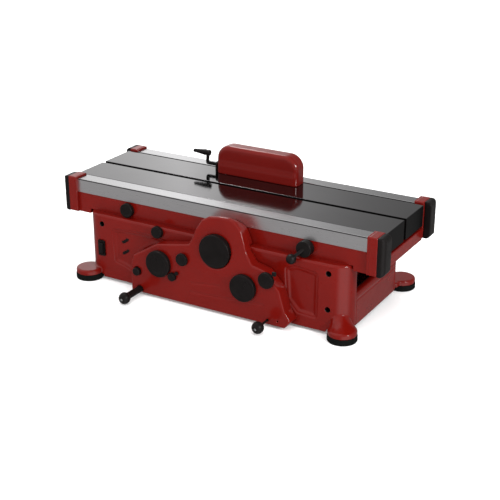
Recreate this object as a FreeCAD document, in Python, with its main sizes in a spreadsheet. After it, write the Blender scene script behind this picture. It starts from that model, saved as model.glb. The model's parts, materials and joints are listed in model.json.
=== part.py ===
import FreeCAD, Part
import math
import os
import re
import Sketcher

# Bench-top thickness planer.  +X runs along the deck (the feed), +Y to the back, +Z up.
# The origin is on the floor, at the centre of the machine's footprint.  All sizes are in mm.

Vector = FreeCAD.Vector
doc = FreeCAD.newDocument("planer")
parts = {}

SIZES = {
    "half_length": 500, "cap_start": 480, "bracket_start": 452, "cap_inner": 131,
    "rail_outer": 167, "rail_width": 41, "rail_top": 281.5, "rail_height": 40.5, "rail_wall": 4,
    "deck_half": 482, "plate": 7, "apron_height": 59, "front_table_edge": 124.5,
    "rear_table_edge": 119, "slot_front": 11, "slot_back": 2.5,
    "beam_bottom": 183, "beam_wall": 4, "crossbar_bottom": 178, "crossbar_top": 212, "tube_wall": 3,
    "body_half": 413, "front_reach": 190, "front_post": 137, "front_corner": 50,
    "rear_reach": 140, "rear_post": 112, "rear_corner": 27, "shelf_reach": 160,
    "wall": 6, "body_bottom": 17, "body_top": 197, "sill_top": 109, "sill_depth": 18, "sill_wall": 5,
    "bed_top": 109, "bed_depth": 7, "bed_half": 394.5, "bed_reach": 131, "bed_roller_x": 194,
    "foot_x": 403.5, "front_foot": 196, "rear_foot": 188, "foot_radius": 39.6, "foot_height": 17,
    "paw_top": 32, "column_x": 134, "column_y": 124, "column_radius": 6,
    "head_half": 145, "head_reach": 110, "head_wall": 6, "head_bottom": 166, "head_top": 243,
    "cutter_x": 38, "cutter_z": 186, "cutter_radius": 25, "cutter_half": 102,
    "roller_radius": 20, "roller_z": 180.5, "infeed_x": 100, "outfeed_x": -24,
    "motor_x": -82, "motor_z": 201, "motor_radius": 34,
    "belt_front": 126, "belt_back": 113, "motor_pulley_radius": 16, "cutter_pulley_radius": 14,
    "housing_left": -139, "housing_right": 123, "housing_front": 74, "housing_back": 126,
    "housing_top": 365, "housing_corner": 40, "housing_wall": 3,
    "crank_y": 90, "crank_z": 301.6, "crank_throw": 30.5, "crank_shaft_radius": 5,
    "pinion_radius": 11.5, "pinion_half": 8, "pinion_gap": 0.3,
    "rack_left": -93, "rack_right": 77, "rack_radius": 5, "rack_top": 338, "rack_hole": 8.5,
    "cover_front": 230, "cover_lean": 22, "lean_start": 120, "arch_top": 272,
    "running_gap": 0.06, "safe_gap": 0.4, "reach": 317.5,
    "port_radius": 50, "port_length": 60, "port_x": -30, "port_z": 128,
    "bracket_lap": 8, "bracket_rise": 5.5, "bearing_radius": 17, "journal_radius": 10,
    "nose_radius": 8, "motor_shaft_radius": 6, "roller_shaft_radius": 8, "sprocket_radius": 14,
    "drum_half": 98, "bed_drum_half": 108, "bed_drum_radius": 10, "bed_drum_rise": 0.3,
    "rod_radius": 9.5, "spindle_radius": 3, "knife_root": 14,
}

sheet = doc.addObject("Spreadsheet::Sheet", "sizes")
scratch = doc.addObject("Spreadsheet::Sheet", "scratch")
for row, (alias, number) in enumerate(SIZES.items(), start=1):
    sheet.set(f"A{row}", alias)
    sheet.set(f"B{row}", str(number))
    sheet.setAlias(f"B{row}", alias)
doc.recompute()


def formula(text):
    """Point every cell name in a size formula at the sheet."""
    return re.sub(r"[a-z][a-z_]+", lambda word: "sizes." + word.group(), str(text))


def number(text):
    """The value that a size formula has now, worked out in a spare cell."""
    scratch.set("A1", "=" + formula(text))
    scratch.recompute()
    return float(scratch.get("A1"))


def bind(item, **formulas):
    for name, text in formulas.items():
        item.setExpression(name, formula(text))


def place(item, x, y, z):
    for letter, text in zip("xyz", (x, y, z)):
        item.setExpression("Placement.Base." + letter, formula(text))


def keep(node, item):
    """Name a finished sub-part; its label is its file name."""
    item.Label = node
    parts[node] = item
    return item


# ---------------------------------------------------------------- primitives and booleans

AXIS_TURN = {
    "x": FreeCAD.Rotation(Vector(0, 1, 0), 90),
    "y": FreeCAD.Rotation(Vector(1, 0, 0), -90),
    "z": FreeCAD.Rotation(),
}


def block(x, y, z):
    """A box between a low and a high formula on each axis."""
    item = doc.addObject("Part::Box", "block")
    bind(item, Length=f"({x[1]}) - ({x[0]})", Width=f"({y[1]}) - ({y[0]})",
         Height=f"({z[1]}) - ({z[0]})")
    place(item, x[0], y[0], z[0])
    return item


def along(item, axis, span, across):
    """Lay a round primitive along an axis; across gives its other two places in X, Y, Z order."""
    spots = list(across)
    spots.insert("xyz".index(axis), span[0])
    item.Placement = FreeCAD.Placement(Vector(), AXIS_TURN[axis])
    place(item, *spots)
    bind(item, Height=f"({span[1]}) - ({span[0]})")
    return item


def rod(axis, span, across, radius):
    item = doc.addObject("Part::Cylinder", "rod")
    bind(item, Radius=radius)
    return along(item, axis, span, across)


def taper(axis, span, across, start_radius, end_radius):
    item = doc.addObject("Part::Cone", "taper")
    bind(item, Radius1=start_radius, Radius2=end_radius)
    return along(item, axis, span, across)


def ball(x, y, z, radius):
    item = doc.addObject("Part::Sphere", "ball")
    bind(item, Radius=radius)
    place(item, x, y, z)
    return item


def fuse(*items):
    item = doc.addObject("Part::MultiFuse", "fuse")
    item.Shapes = list(items)
    item.Refine = True
    return item


def cut(base, *tools):
    item = doc.addObject("Part::Cut", "cut")
    item.Base = base
    item.Tool = tools[0] if len(tools) == 1 else fuse(*tools)
    item.Refine = True
    return item


def group(*items):
    """Several separate solids that share one node."""
    item = doc.addObject("Part::Compound", "group")
    item.Links = list(items)
    return item


def rounded(base, radius, wanted):
    """Fillet the edges of a Part object that the test picks."""
    doc.recompute()
    item = doc.addObject("Part::Fillet", "rounded")
    item.Base = base
    size = number(radius)
    item.Edges = [(index, size, size) for index, edge in enumerate(base.Shape.Edges, start=1)
                  if wanted(edge)]
    return item


# ---------------------------------------------------------------- sketches and bodies

def body():
    return doc.addObject("PartDesign::Body", "body")


def sketch(owner, role, offset=0):
    """A sketch on one of the body's origin planes, moved along the plane's normal."""
    plane = next(item for item in owner.Origin.OriginFeatures if item.Role == role)
    item = owner.newObject("Sketcher::SketchObject", "sketch")
    item.AttachmentSupport = (plane, [""])
    item.MapMode = "FlatFace"
    item.setExpression("AttachmentOffset.Base.z", formula(offset))
    return item


def pin_coordinate(item, edge, kind, text):
    """Tie the start of an edge to the sketch's origin along one direction."""
    value = number(text)
    if abs(value) < 1e-6:
        axis = -2 if kind == "DistanceX" else -1
        item.addConstraint(Sketcher.Constraint("PointOnObject", edge, 1, axis))
    elif value > 0:
        index = item.addConstraint(Sketcher.Constraint(kind, -1, 1, edge, 1, value))
        item.setExpression(f"Constraints[{index}]", formula(text))
    else:
        index = item.addConstraint(Sketcher.Constraint(kind, edge, 1, -1, 1, -value))
        item.setExpression(f"Constraints[{index}]", formula(f"-({text})"))


def outline(item, corners):
    """Close a chain of straight edges; each corner is a pair of size formulas."""
    points = [Vector(number(across), number(up), 0) for across, up in corners]
    first = item.GeometryCount
    for start, end in zip(points, points[1:] + points[:1]):
        item.addGeometry(Part.LineSegment(start, end))
    count = len(points)
    for index in range(count):
        edge = first + index
        following = first + (index + 1) % count
        item.addConstraint(Sketcher.Constraint("Coincident", edge, 2, following, 1))
    for index, (across, up) in enumerate(corners):
        pin_coordinate(item, first + index, "DistanceX", across)
        pin_coordinate(item, first + index, "DistanceY", up)


def rectangle(item, across, up):
    outline(item, [(across[0], up[0]), (across[1], up[0]), (across[1], up[1]), (across[0], up[1])])


def ring(item, across, up, radius):
    """A circle whose centre and radius follow the sheet."""
    centre = Vector(number(across), number(up), 0)
    edge = item.addGeometry(Part.Circle(centre, Vector(0, 0, 1), number(radius)))
    index = item.addConstraint(Sketcher.Constraint("Radius", edge, number(radius)))
    item.setExpression(f"Constraints[{index}]", formula(radius))
    for kind, text in (("DistanceX", across), ("DistanceY", up)):
        value = number(text)
        if abs(value) < 1e-6:
            axis = -2 if kind == "DistanceX" else -1
            item.addConstraint(Sketcher.Constraint("PointOnObject", edge, 3, axis))
            continue
        ends = (-1, 1, edge, 3) if value > 0 else (edge, 3, -1, 1)
        index = item.addConstraint(Sketcher.Constraint(kind, *ends, abs(value)))
        item.setExpression(f"Constraints[{index}]", formula(text if value > 0 else f"-({text})"))


def pad(owner, profile, length, both=False, back=False):
    item = owner.newObject("PartDesign::Pad", "pad")
    item.Profile = profile
    item.Reversed = back
    item.Midplane = both
    bind(item, Length=length)
    return item


def pocket(owner, profile, depth, both=False, back=False):
    """Cut a pocket and check that it takes material away."""
    doc.recompute()
    before = owner.Shape.Volume
    item = owner.newObject("PartDesign::Pocket", "pocket")
    item.Profile = profile
    item.Reversed = back
    item.Midplane = both
    bind(item, Length=depth)
    doc.recompute()
    if owner.Shape.Volume > before - 1:
        raise ValueError("a pocket removed nothing")
    return item


def round_body(owner, radius, wanted):
    """Fillet the body's edges that the test picks."""
    doc.recompute()
    base = owner.Tip
    names = [f"Edge{index}" for index, edge in enumerate(base.Shape.Edges, start=1) if wanted(edge)]
    item = owner.newObject("PartDesign::Fillet", "edge")
    item.Base = (base, names)
    bind(item, Radius=radius)
    doc.recompute()
    return item


def runs_along(edge, direction):
    """True for a straight edge in the given direction."""
    if edge.Curve.TypeId != "Part::GeomLine":
        return False
    return abs(abs(edge.Curve.Direction.dot(direction)) - 1) < 1e-6


def centre(edge):
    return edge.CenterOfMass


def is_round(edge):
    return edge.Curve.TypeId == "Part::GeomCircle"


def upright(edge):
    return runs_along(edge, Vector(0, 0, 1))


def crosswise(edge):
    return runs_along(edge, Vector(0, 1, 0))


def lengthwise(edge):
    return runs_along(edge, Vector(1, 0, 0))


def flat_at_y(edge, y):
    box = edge.BoundBox
    return abs(box.YMin - y) < 0.01 and abs(box.YMax - y) < 0.01


# ---------------------------------------------------------------- base

RAIL_KNOB = (-278.5, 218.5)
FEED_LEVER = (282, 221)
HOOD_KNOB = (-163, 183.5)
SWITCH_X = (-370, -348)
SWITCH_Z = (74, 119)
BOLT_HOLES = ((-356, 169), (357, 171), (357, 71))
HOLE_RADIUS = 8
STEM_HOLE = 5.4
HOLE_DEPTH = 24
BOSS_RADIUS = 13
PANELS = ((-317, -92, 48, 165), (235, 331, 32, 170))
VENTS = ((-281, 96), (-281, 130))
VENT_TILT = -35
SHOULDER = 7
FLANGE = 8
FOOT_SCREW_HOLE = 4.1
HEAD_RADIUS = 7
HEAD_TOP = 12
SHANK_RADIUS = 4
SCREW_GAP = 0.4
SWEEP_RINGS = ((403.5, 196, 31, 37), (394, 183, 41, 28), (382, 168, 56, 22), (376, 158, 72, 18))


def casting(side, reach, post, corner):
    """One long side of the base without its paws; side is -1 at the front, 1 at the back."""
    def span(inner, outer):
        return sorted((f"{side} * ({inner})", f"{side} * ({outer})"), key=number)

    shell = block(("-body_half", "body_half"), span(post, reach), ("body_bottom", "body_top"))
    face = side * SIZES[reach]
    shell = rounded(shell, corner, lambda edge: upright(edge) and abs(centre(edge).y - face) < 1)
    top = SIZES["body_top"]
    inner_face = SIZES[post] + 2
    shell = rounded(shell, SHOULDER, lambda edge: abs(centre(edge).z - top) < 0.1
                    and abs(centre(edge).y) > inner_face)
    hollow = block(("wall - body_half", "body_half - wall"), span(f"{post} - 60", f"{reach} - wall"),
                   ("body_bottom - 1", f"body_top - {FLANGE}"))
    inner_wall = side * (SIZES[reach] - SIZES["wall"])
    hollow = rounded(hollow, f"{corner} - wall",
                     lambda edge: upright(edge) and abs(centre(edge).y - inner_wall) < 1)
    return cut(shell, hollow)


def paw(end, side, foot, inner):
    """A rounded foot pad that reaches out of the wall."""
    pad_radius = SIZES["foot_radius"] - 1
    middle = f"{end} * foot_x"
    height = ("foot_height", "paw_top")
    disc = rod("z", height, (middle, f"{side} * {foot}"), pad_radius)
    rim = SIZES["paw_top"]
    disc = rounded(disc, 5, lambda edge: is_round(edge) and abs(centre(edge).z - rim) < 0.1)
    reach = sorted((f"{side} * ({inner})", f"{side} * {foot}"), key=number)
    outer = SIZES["body_half"] - SIZES["foot_x"]
    across = sorted((f"{middle} - {end * (pad_radius - 4)}", f"{middle} + {end * outer}"), key=number)
    neck = block(across, reach, ("foot_height", "paw_top - 1"))
    return fuse(disc, neck)


def corner_sweep():
    """The concave sweep from the right front corner of the wall down to its paw."""
    sections = []
    for x, y, z, radius in SWEEP_RINGS:
        hoop = doc.addObject("Part::Circle", "hoop")
        hoop.Radius = radius
        hoop.Placement = FreeCAD.Placement(Vector(x, -y, z), FreeCAD.Rotation())
        sections.append(hoop)
    sweep = doc.addObject("Part::Loft", "sweep")
    sweep.Sections = sections
    sweep.Solid = True
    return sweep


def screw_hole(end, side, foot):
    return rod("z", ("foot_height - 1", 29), (f"{end} * foot_x", f"{side} * {foot}"), FOOT_SCREW_HOLE)


def panel_recess(left, right, low, high, depth):
    """A rounded shallow recess in the front wall."""
    tool = block((left, right), ("-front_reach - 1", f"{depth} - front_reach"), (low, high))
    return rounded(tool, 8, crosswise)


def leaf_vent(x, z):
    """A slanted leaf-shaped slot, sunk most of the way through the front wall."""
    tool = block((-13, 13), ("-front_reach - 1", "wall - 1 - front_reach"), (-4, 4))
    tool = rounded(tool, 3.8, crosswise)
    tilted = doc.addObject("Part::Compound", "vent")
    tilted.Links = [tool]
    tilted.Placement = FreeCAD.Placement(Vector(x, 0, z), FreeCAD.Rotation(Vector(0, 1, 0), VENT_TILT))
    return tilted


def make_base():
    front = casting(-1, "front_reach", "front_post", "front_corner")
    skirt = block((-355, 355), ("-front_reach", "wall - front_reach"), (9, "body_bottom + 1"))
    paws = [paw(end, -1, "front_foot", "front_reach - 5") for end in (-1, 1)]
    bosses = [rod("y", ("2 - front_reach", f"{HOLE_DEPTH + 4} - front_reach"), place_of, BOSS_RADIUS)
              for place_of in BOLT_HOLES]
    through = ("-front_reach - 1", "wall + 1 - front_reach")
    tools = [screw_hole(end, -1, "front_foot") for end in (-1, 1)]
    for left, right, low, high in PANELS:
        tools.append(panel_recess(left, right, low, high, 1.2))
        tools.append(panel_recess(left + 11, right - 11, low + 11, high - 8, 2.4))
    tools += [rod("y", ("-front_reach - 1", f"{HOLE_DEPTH} - front_reach"), place_of, HOLE_RADIUS)
              for place_of in BOLT_HOLES]
    tools += [leaf_vent(x, z) for x, z in VENTS]
    tools.append(rod("y", through, HOOD_KNOB, STEM_HOLE))
    tools.append(block(SWITCH_X, through, SWITCH_Z))
    keep("base_front", cut(fuse(front, skirt, corner_sweep(), *paws, *bosses), *tools))

    rear = casting(1, "rear_reach", "rear_post", "rear_corner")
    shelf = block(("-body_half + 12", "body_half - 12"), ("rear_reach - wall", "shelf_reach"),
                  (f"body_top - {FLANGE}", "body_top"))
    paws = [paw(end, 1, "rear_foot", "rear_reach - 5") for end in (-1, 1)]
    chute = block(("port_x - 42", "port_x + 42"), ("rear_reach - wall - 1", "rear_reach + 1"),
                  ("port_z - 36", "port_z + 36"))
    head_way = block(("-head_half - 8", "head_half + 8"), ("rear_post - 1", "rear_reach - wall"),
                     (f"body_top - {FLANGE + 1}", "body_top + 1"))
    tools = [screw_hole(end, 1, "rear_foot") for end in (-1, 1)]
    keep("base_rear", cut(fuse(rear, shelf, *paws), chute, head_way, *tools))
    for node, end in (("end_sill_left", -1), ("end_sill_right", 1)):
        make_sill(node, end)


def make_sill(node, end):
    """A channel that closes the bottom of one end, under the mouth of the feed tunnel."""
    owner = body()
    side = sketch(owner, "XZ_Plane", "-(rear_post - safe_gap)")
    outer = f"{end} * body_half"
    inner = f"{end} * (body_half - sill_depth)"
    web = f"{end} * (body_half - sill_wall)"
    outline(side, [(inner, "sill_top"), (inner, "sill_top - sill_wall"),
                   (f"{end} * (body_half - 13)", "sill_top - sill_wall"), (web, "sill_top - 13"),
                   (web, "body_bottom"), (outer, "body_bottom"), (outer, "sill_top")])
    pad(owner, side, "front_post + rear_post - 2 * safe_gap")
    outer_face = end * SIZES["body_half"]
    top = SIZES["sill_top"]
    round_body(owner, "12", lambda edge: crosswise(edge) and abs(centre(edge).x - outer_face) < 0.1
               and abs(centre(edge).z - top) < 0.1)
    keep(node, owner)


def make_feet():
    """Rubber discs under the paws, each held by one screw from below."""
    feet = []
    screws = []
    for x in ("-foot_x", "foot_x"):
        for y in ("-front_foot", "rear_foot"):
            disc = rod("z", (0, "foot_height"), (x, y), "foot_radius")
            disc = rounded(disc, 2.5, is_round)
            head_way = rod("z", (-1, HEAD_TOP), (x, y), HEAD_RADIUS + SCREW_GAP)
            shank_way = rod("z", (HEAD_TOP - 1, 18), (x, y), SHANK_RADIUS + SCREW_GAP)
            feet.append(cut(disc, head_way, shank_way))
            screws.append(fuse(rod("z", (HEAD_TOP - 4, HEAD_TOP), (x, y), HEAD_RADIUS),
                               rod("z", (HEAD_TOP - 1, 28), (x, y), SHANK_RADIUS)))
    keep("rubber_feet", group(*feet))
    keep("foot_screws", group(*screws))


# ---------------------------------------------------------------- deck

def make_beams():
    """Hollow beams that carry the rails; their undersides are cut away over the base."""
    for node, side in (("side_beam_front", -1), ("side_beam_rear", 1)):
        outer = sorted((f"{side} * (rail_outer - 1.5)", f"{side} * (rail_outer - 25)"), key=number)
        inner = sorted((f"{side} * (rail_outer - 1.5 - beam_wall)",
                        f"{side} * (rail_outer - 25 + beam_wall)"), key=number)
        top = "rail_top - rail_height"
        beam = block(("-bracket_start", "bracket_start"), outer, ("beam_bottom", top))
        cavity = block(("-bracket_start - 1", "bracket_start + 1"), inner,
                       ("body_top + beam_wall", f"{top} - beam_wall"))
        seat = block(("-body_half - 0.2", "body_half + 0.2"), ("-rail_outer", "rail_outer"),
                     ("beam_bottom - 1", "body_top"))
        tools = [cavity, seat]
        if side < 0:
            tools += [rod("y", ("-rail_outer - 1", "5.5 - rail_outer"), place_of, STEM_HOLE)
                      for place_of in (RAIL_KNOB, FEED_LEVER)]
        keep(node, cut(beam, *tools))
    bars = []
    reach = "rail_outer - rail_width"
    for end in (-1, 1):
        span = sorted((f"{end} * (bracket_start + 2)", f"{end} * (cap_start - 0.5)"), key=number)
        bar = block(span, (f"-({reach})", reach), ("crossbar_bottom", "crossbar_top"))
        bar = rounded(bar, 3, crosswise)
        inside = block((f"{span[0]} + tube_wall", f"{span[1]} - tube_wall"),
                       (f"-({reach}) - 1", f"{reach} + 1"),
                       ("crossbar_bottom + tube_wall", "crossbar_top - tube_wall"))
        bars.append(cut(bar, inside))
    keep("crossbars", group(*bars))


def make_rails():
    """Hollow extrusions with a ledge on the inner side that carries the deck plates."""
    for node, side in (("front_rail", -1), ("rear_rail", 1)):
        owner = body()
        profile = sketch(owner, "YZ_Plane", 0)
        low = "rail_top - rail_height"
        ledge = "rail_top - plate"
        inner = "rail_outer - rail_width"
        corners = [("rail_outer", low), ("rail_outer", "rail_top"), (inner, "rail_top"), (inner, ledge),
                   (f"{inner} - 13", ledge), (f"{inner} - 13", f"{ledge} - 5"), (inner, f"{ledge} - 5"),
                   (inner, low)]
        outline(profile, [(f"{side} * ({across})", up) for across, up in corners])
        chamber = [(f"{side} * ({across})", up) for across, up in (
            ("rail_outer - rail_wall", f"{low} + rail_wall"),
            ("rail_outer - rail_wall", "rail_top - rail_wall"),
            (f"{inner} + rail_wall", "rail_top - rail_wall"), (f"{inner} + rail_wall", f"{low} + rail_wall"))]
        outline(profile, chamber)
        pad(owner, profile, "2 * bracket_start", both=True)
        face = side * SIZES["rail_outer"]
        round_body(owner, "1.2", lambda edge: lengthwise(edge) and abs(centre(edge).y - face) < 0.01)
        keep(node, owner)


def make_brackets():
    """Cast corners that join the rails, beams and crossbars, each closed by a black cap."""
    caps = []
    for side, side_name in ((-1, "front"), (1, "rear")):
        for end, end_name in ((-1, "left"), (1, "right")):
            owner = body()
            span = sorted((f"{end} * bracket_start", f"{end} * cap_start"), key=number)
            reach = sorted((f"{side} * (rail_outer - rail_width)", f"{side} * (rail_outer + bracket_lap)"),
                           key=number)
            plan = sketch(owner, "XY_Plane", "beam_bottom")
            rectangle(plan, span, reach)
            pad(owner, plan, "rail_top + bracket_rise - beam_bottom")
            face = side * number("rail_outer + bracket_lap")
            top = number("rail_top + bracket_rise")
            round_body(owner, "4", lambda edge: lengthwise(edge) and (
                abs(centre(edge).y - face) < 0.01 or abs(centre(edge).z - top) < 0.01))
            keep(f"bracket_{side_name}_{end_name}", owner)
            cap_span = sorted((f"{end} * cap_start", f"{end} * half_length"), key=number)
            cap_reach = sorted((f"{side} * cap_inner", f"{side} * (rail_outer + bracket_lap)"), key=number)
            cap = block(cap_span, cap_reach, ("beam_bottom - 1", "rail_top + bracket_rise - 0.5"))
            outer = end * SIZES["half_length"]
            cap = rounded(cap, 13, lambda edge: abs(centre(edge).x - outer) < 0.01
                          and (upright(edge) and abs(centre(edge).y - face) < 0.01 or crosswise(edge)))
            caps.append(cap)
    keep("end_caps", group(*caps))


def make_tables():
    edges = {"front_table": ("-front_table_edge", "-slot_front"),
             "rear_table": ("slot_back", "rear_table_edge")}
    for node, (low, high) in edges.items():
        owner = body()
        side = sketch(owner, "XZ_Plane", f"-({low})")
        inner = "deck_half - plate"
        outline(side, [("-deck_half", "rail_top - apron_height"), (f"-({inner})", "rail_top - apron_height"),
                       (f"-({inner})", "rail_top - plate"), (inner, "rail_top - plate"),
                       (inner, "rail_top - apron_height"), ("deck_half", "rail_top - apron_height"),
                       ("deck_half", "rail_top"), ("-deck_half", "rail_top")])
        pad(owner, side, f"({high}) - ({low})", back=True)
        top = SIZES["rail_top"]
        round_body(owner, "1", lambda edge: abs(centre(edge).z - top) < 0.01)
        if node == "rear_table":
            holes = sketch(owner, "XY_Plane", "rail_top + 1")
            for x in ("rack_left", "rack_right"):
                ring(holes, x, "crank_y + pinion_radius + pinion_gap + rack_radius", "rack_hole")
            pocket(owner, holes, "plate + 2")
        keep(node, owner)
    keep("deck_spine", block(("10 - bracket_start", "bracket_start - 10"), (-23, 15),
                             ("rail_top - plate - 7.5", "rail_top - plate")))


# ---------------------------------------------------------------- bed and columns

def make_bed():
    plate = block(("-bed_half", "bed_half"), ("-bed_reach", "bed_reach"), ("bed_top - bed_depth", "bed_top"))
    slots = [block((f"{x} - bed_drum_radius - 3", f"{x} + bed_drum_radius + 3"),
                   ("-bed_drum_half - 4", "bed_drum_half + 4"), ("bed_top - bed_depth - 1", "bed_top + 1"))
             for x in ("-bed_roller_x", "bed_roller_x")]
    keep("thickness_bed", cut(plate, *slots))
    for node, x in (("bed_roller_left", "-bed_roller_x"), ("bed_roller_right", "bed_roller_x")):
        axis = (x, "bed_top + bed_drum_rise - bed_drum_radius")
        drum = rod("y", ("-bed_drum_half", "bed_drum_half"), axis, "bed_drum_radius")
        pins = rod("y", ("-bed_drum_half - 3", "bed_drum_half + 3"), axis, 3.5)
        keep(node, fuse(drum, pins))
    columns = [rod("z", ("bed_top", "rail_top - rail_height"), (x, y), "column_radius")
               for x in ("-column_x", "column_x") for y in ("-column_y", "column_y")]
    keep("guide_columns", group(*columns))


# ---------------------------------------------------------------- cutter head

def belt_loop(first, first_radius, second, second_radius, thickness, span):
    """A closed belt round two pulleys in the XZ plane, from span[0] to span[1] along Y."""
    def loop(extra):
        reach_one = first_radius + extra
        reach_two = second_radius + extra
        gap = second - first
        turn = math.acos((reach_one - reach_two) / gap.Length)
        heading = math.atan2(gap.z, gap.x)

        def on(middle, radius, angle):
            return middle + Vector(radius * math.cos(angle), 0, radius * math.sin(angle))

        up, down = heading + turn, heading - turn
        one_up, one_down = on(first, reach_one, up), on(first, reach_one, down)
        two_up, two_down = on(second, reach_two, up), on(second, reach_two, down)
        edges = [Part.Arc(one_up, on(first, reach_one, heading + math.pi), one_down).toShape(),
                 Part.makeLine(one_down, two_down),
                 Part.Arc(two_down, on(second, reach_two, heading), two_up).toShape(),
                 Part.makeLine(two_up, one_up)]
        return Part.Face(Part.Wire(edges)).extrude(Vector(0, span[1] - span[0], 0))

    item = doc.addObject("Part::Feature", "belt")
    gap = SIZES["safe_gap"]
    item.Shape = loop(gap + thickness).cut(loop(gap))
    item.Placement = FreeCAD.Placement(Vector(0, span[0], 0), FreeCAD.Rotation())
    return item


def axis_at(x, z):
    return Vector(SIZES[x], 0, SIZES[z])


def make_head():
    """The casting that carries the cutter, the feed rollers and the motor up and down the columns."""
    top = block(("-head_half", "head_half"), ("-head_reach", "head_reach"),
                ("head_top - head_wall", "head_top"))
    sides = [block(("-head_half", "head_half"), span, ("head_bottom", "head_top"))
             for span in (("-head_reach", "head_wall - head_reach"), ("head_reach - head_wall", "head_reach"))]
    ears = []
    bores = []
    for x in ("-column_x", "column_x"):
        for side in (-1, 1):
            y = f"{side} * column_y"
            ears.append(rod("z", ("head_bottom", "head_bottom + 49"), (x, y), "column_radius + 2.5"))
            web = sorted((f"{side} * (head_reach - 1)", f"{side} * (column_y - 4)"), key=number)
            ears.append(block((f"{x} - 5", f"{x} + 5"), web, ("head_bottom + 4", "head_bottom + 45")))
            bores.append(rod("z", ("head_bottom - 1", "head_bottom + 50"), (x, y),
                             "column_radius + running_gap"))
    through = ("-head_reach - 1", "head_reach + 1")
    bores.append(rod("y", through, ("cutter_x", "cutter_z"), "bearing_radius"))
    for x in ("infeed_x", "outfeed_x"):
        bores.append(rod("y", through, (x, "roller_z"), "roller_shaft_radius + running_gap"))
    bores.append(rod("y", ("-head_reach - 1", "0"), ("motor_x", "motor_z"), 9))
    keep("head_casting", cut(fuse(top, *sides, *ears), *bores))

    bearings = []
    for span in (("-head_reach", "head_wall - head_reach"), ("head_reach - head_wall", "head_reach")):
        outer = rod("y", span, ("cutter_x", "cutter_z"), "bearing_radius")
        bearings.append(cut(outer, rod("y", span, ("cutter_x", "cutter_z"),
                                       "journal_radius + running_gap")))
    keep("cutter_bearings", group(*bearings))

    shell = rod("y", ("head_wall - head_reach", "60"), ("motor_x", "motor_z"), "motor_radius")
    bore = rod("y", ("head_wall - head_reach - 1", "55"), ("motor_x", "motor_z"), "motor_radius - 8")
    keep("motor_housing", cut(shell, bore))
    armature = rod("y", ("head_wall - head_reach + 4", "50"), ("motor_x", "motor_z"), "motor_radius - 10")
    shaft = rod("y", ("-belt_front", "54"), ("motor_x", "motor_z"), "motor_shaft_radius")
    keep("motor_rotor", fuse(armature, shaft))

    belt_span = ("-belt_front", "-belt_back")
    motor_wheel = rod("y", belt_span, ("motor_x", "motor_z"), "motor_pulley_radius")
    motor_bore = rod("y", belt_span, ("motor_x", "motor_z"), "motor_shaft_radius")
    keep("motor_pulley", cut(motor_wheel, motor_bore))
    cutter_wheel = rod("y", belt_span, ("cutter_x", "cutter_z"), "cutter_pulley_radius")
    cutter_bore = rod("y", belt_span, ("cutter_x", "cutter_z"), "nose_radius")
    keep("cutter_pulley", cut(cutter_wheel, cutter_bore))
    keep("drive_belt", belt_loop(axis_at("motor_x", "motor_z"), SIZES["motor_pulley_radius"],
                                 axis_at("cutter_x", "cutter_z"), SIZES["cutter_pulley_radius"], 3,
                                 (1.5 - SIZES["belt_front"], -1.5 - SIZES["belt_back"])))
    wheel = SIZES["sprocket_radius"]
    keep("feed_chain", belt_loop(axis_at("outfeed_x", "roller_z"), wheel,
                                 axis_at("infeed_x", "roller_z"), wheel, 4,
                                 (SIZES["head_reach"] + 2.5, SIZES["head_reach"] + 7.5)))


def make_cutter():
    drum = rod("y", ("-cutter_half", "cutter_half"), ("cutter_x", "cutter_z"), "cutter_radius - 1.1")
    shaft = rod("y", ("-head_reach", "head_reach"), ("cutter_x", "cutter_z"), "journal_radius")
    nose = rod("y", ("-belt_front", "-head_reach"), ("cutter_x", "cutter_z"), "nose_radius")
    slots = [block(("cutter_x - 5", "cutter_x + 5"), ("-cutter_half - 1", "cutter_half + 1"), span)
             for span in (("cutter_z + knife_root", "cutter_z + 30"),
                          ("cutter_z - 30", "cutter_z - knife_root"))]
    keep("cutterblock", fuse(cut(drum, *slots), shaft, nose))
    knives = []
    for span, side in ((("cutter_z + knife_root", "cutter_z + cutter_radius"), 1),
                       (("cutter_z - cutter_radius", "cutter_z - knife_root"), -1)):
        across = sorted((f"cutter_x + {side} * 5", f"cutter_x + {side} * 2"), key=number)
        knives.append(block(across, ("-cutter_half", "cutter_half"), span))
    keep("cutter_knives", group(*knives))


def make_rollers():
    for node, x in (("infeed_roller", "infeed_x"), ("outfeed_roller", "outfeed_x")):
        drum = rod("y", ("-drum_half", "drum_half"), (x, "roller_z"), "roller_radius")
        shaft = rod("y", ("-head_reach - 1", "head_reach + 9"), (x, "roller_z"), "roller_shaft_radius")
        wheel = rod("y", ("head_reach + 1.5", "head_reach + 8.5"), (x, "roller_z"), "sprocket_radius")
        keep(node, fuse(drum, shaft, wheel))


# ---------------------------------------------------------------- height adjustment

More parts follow.
